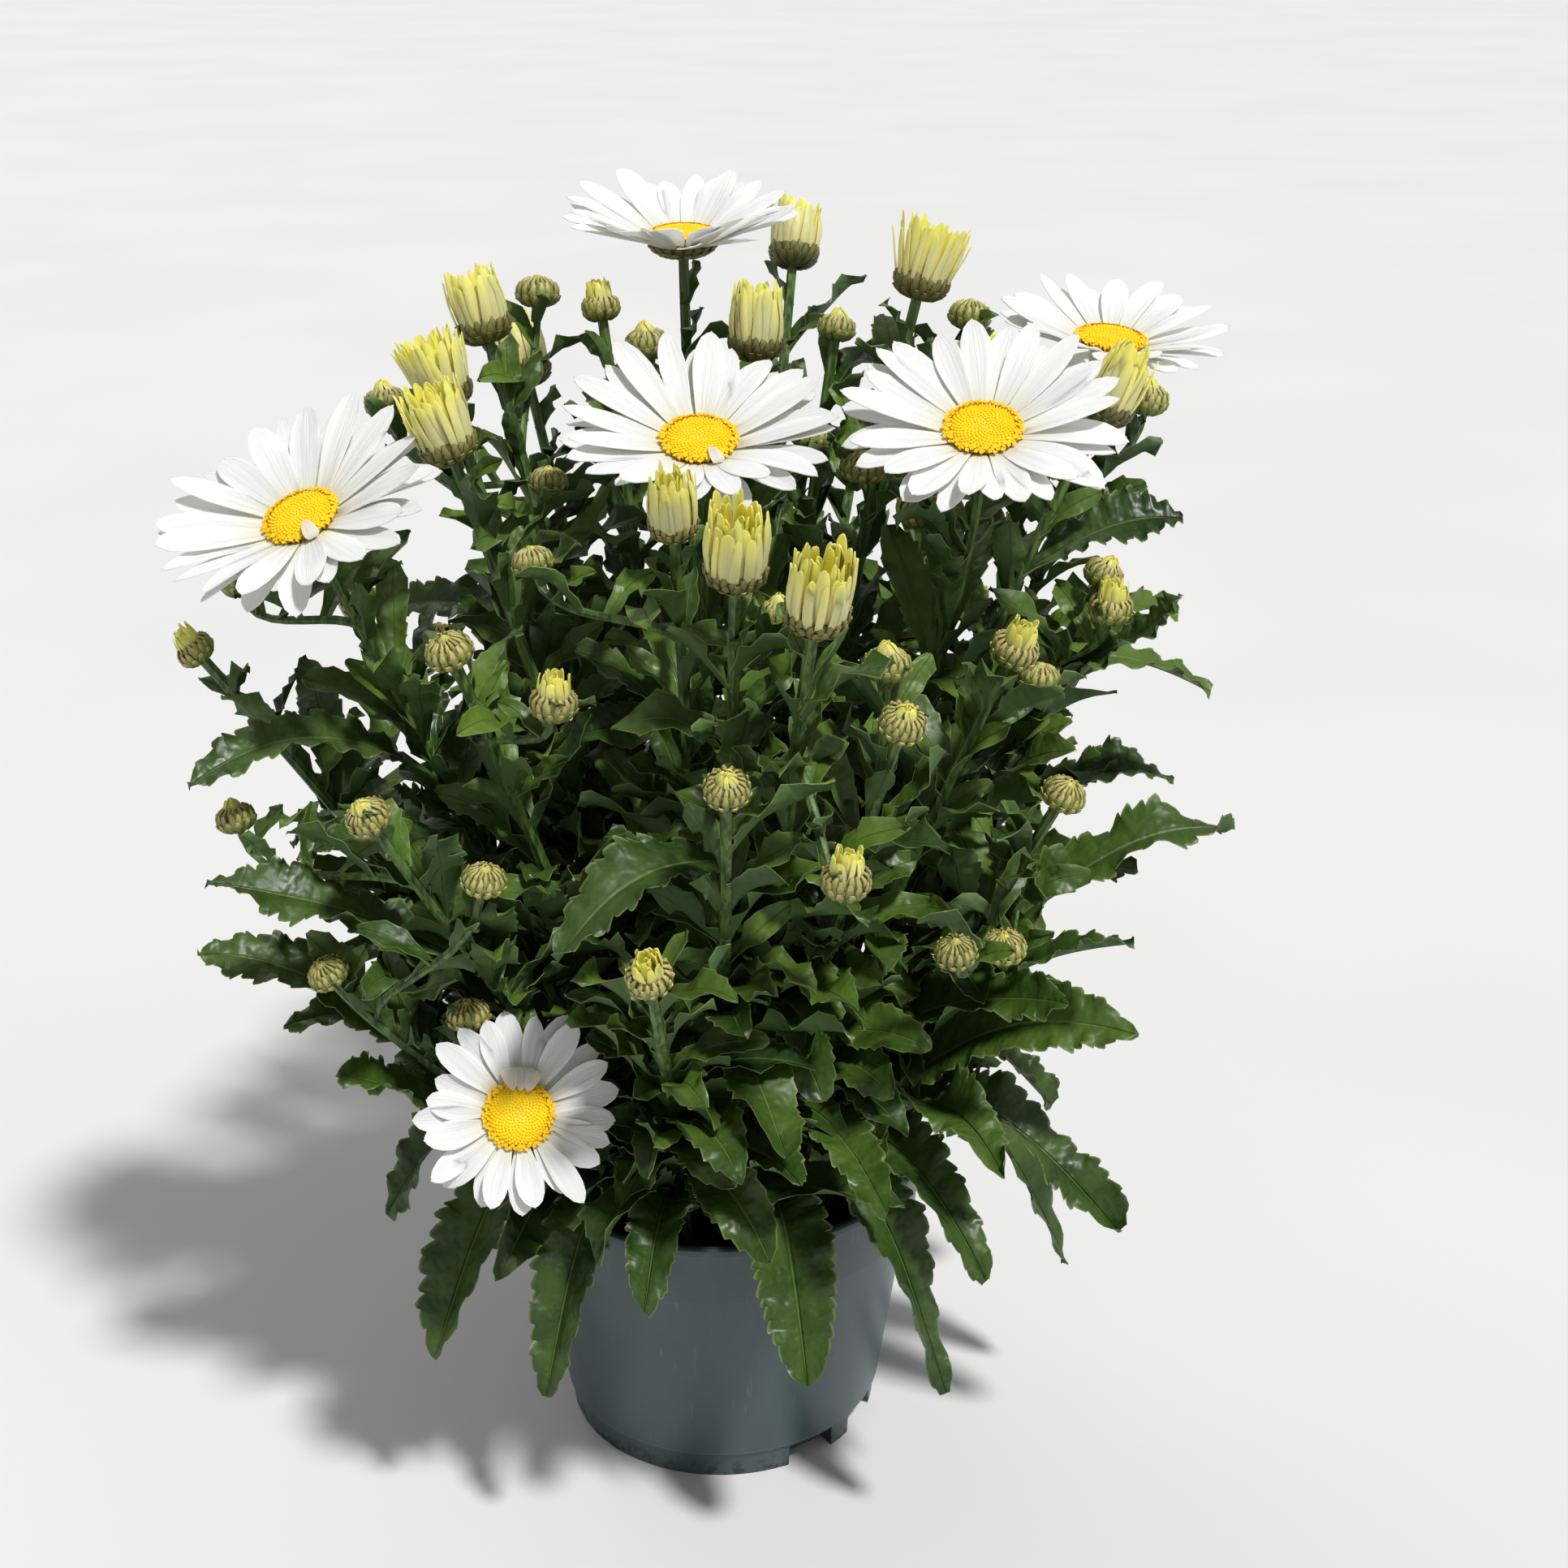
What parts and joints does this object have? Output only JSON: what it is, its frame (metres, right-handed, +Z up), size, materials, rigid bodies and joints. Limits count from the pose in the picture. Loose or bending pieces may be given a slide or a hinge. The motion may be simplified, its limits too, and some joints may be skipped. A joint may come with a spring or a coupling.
{
  "type": "potted shasta daisy",
  "caption": "Bushy white-flowered daisy plant with yellow-centred blooms, opening buds and toothed green leaves, growing in a round tapered plastic nursery pot of soil.",
  "frame": {"origin": "middle of the pot's underside, on the ground", "axes": "+Z up along the pot's axis; the plant's best side faces -Y; +X to the right as seen from that side"},
  "size_m": [0.3271, 0.306, 0.4169],
  "materials": {
    "pot": "satin slate-grey moulded plastic",
    "soil": "damp dark potting soil with fine crumbs",
    "leaf": "dark green living leaf and stem with a soft gloss",
    "petal": "matt white petal with fine lengthwise grooves",
    "disc": "matt golden-yellow florets",
    "tuft": "matt cream-yellow unopened petals"
  },
  "bodies": {
    "root": {"pot": "pot", "soil": "soil", "stem_01": "leaf", "stem_02": "leaf", "stem_03": "leaf", "stem_04": "leaf", "stem_05": "leaf", "stem_06": "leaf", "stem_07": "leaf", "stem_08": "leaf", "stem_09": "leaf", "stem_10": "leaf", "stem_11": "leaf", "stem_12": "leaf", "stem_13": "leaf", "stem_14": "leaf", "stem_15": "leaf", "stem_16": "leaf", "stem_17": "leaf", "stem_18": "leaf", "stem_19": "leaf", "stem_20": "leaf", "stem_21": "leaf", "stem_22": "leaf", "stem_23": "leaf", "stem_24": "leaf", "stem_25": "leaf", "stem_26": "leaf", "stem_27": "leaf", "stem_28": "leaf", "stem_29": "leaf", "stem_30": "leaf", "stem_31": "leaf", "stem_32": "leaf", "stem_33": "leaf", "stem_34": "leaf", "petals_01": "petal", "petals_02": "petal", "petals_03": "petal", "petals_04": "petal", "petals_05": "petal", "petals_06": "petal", "disc_01": "disc", "disc_02": "disc", "disc_03": "disc", "disc_04": "disc", "disc_05": "disc", "disc_06": "disc", "tuft_07": "tuft", "tuft_08": "tuft", "tuft_09": "tuft", "tuft_10": "tuft", "tuft_11": "tuft", "tuft_12": "tuft", "tuft_13": "tuft", "tuft_14": "tuft", "tuft_15": "tuft", "tuft_16": "tuft", "tuft_29": "tuft", "tuft_30": "tuft"}
  },
  "joints": []
}
